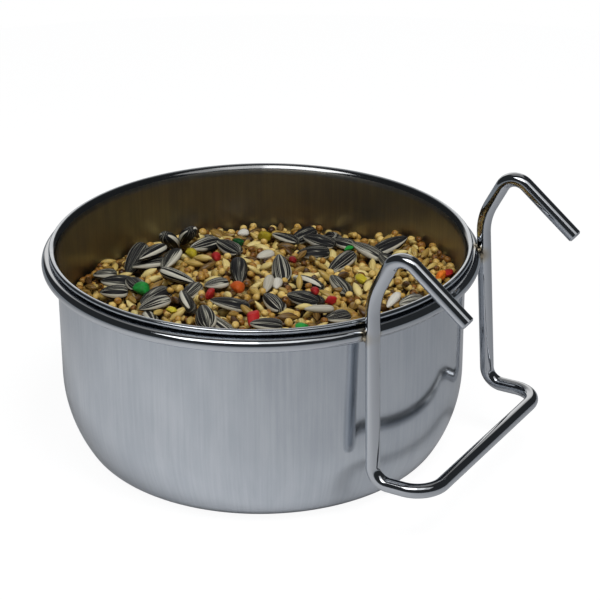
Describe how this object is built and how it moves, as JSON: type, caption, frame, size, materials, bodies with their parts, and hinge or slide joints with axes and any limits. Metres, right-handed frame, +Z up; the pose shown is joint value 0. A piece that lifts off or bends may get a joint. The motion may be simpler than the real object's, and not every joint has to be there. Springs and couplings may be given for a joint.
{
  "type": "hook-on seed cup",
  "caption": "Round steel cup of mixed bird seed that lifts out of a wire ring, held by a bent wire hanger with two hooks and a U-shaped foot.",
  "frame": {"origin": "centre of the cup's flat base, on its underside", "axes": "+Z up along the cup's axis, +X from the cup towards the hanger's foot bar and hook tips, +Y along the foot bar towards the far hook"},
  "size_m": [0.1459, 0.125, 0.084],
  "materials": {
    "steel_sheet": "satin",
    "steel_wire": "polished",
    "weld_metal": "heat-tinted",
    "seed_heap": "dry seed, matt",
    "millet": "smooth hull",
    "canary_seed": "smooth hull",
    "sunflower_hull": "dark hull with pale stripes",
    "white_hull": "smooth hull",
    "pellet_green": "matt pellet",
    "pellet_yellow": "matt pellet",
    "pellet_red": "matt pellet",
    "pellet_orange": "matt pellet"
  },
  "bodies": {
    "holder": {"wire_ring": "steel_wire", "wire_hanger": "steel_wire", "weld_near": "weld_metal", "weld_far": "weld_metal"},
    "cup": {"bowl": "steel_sheet", "seed_bed": "seed_heap", "millet_grains": "millet", "canary_grains": "canary_seed", "sunflower_seeds": "sunflower_hull", "white_seeds": "white_hull", "pellets_green": "pellet_green", "pellets_yellow": "pellet_yellow", "pellets_red": "pellet_red", "pellets_orange": "pellet_orange"}
  },
  "joints": [
    {"name": "cup_lift", "type": "slide", "parent": "holder", "child": "cup", "axis": [0, 0, 1], "range_m": [0, 0.07]}
  ]
}
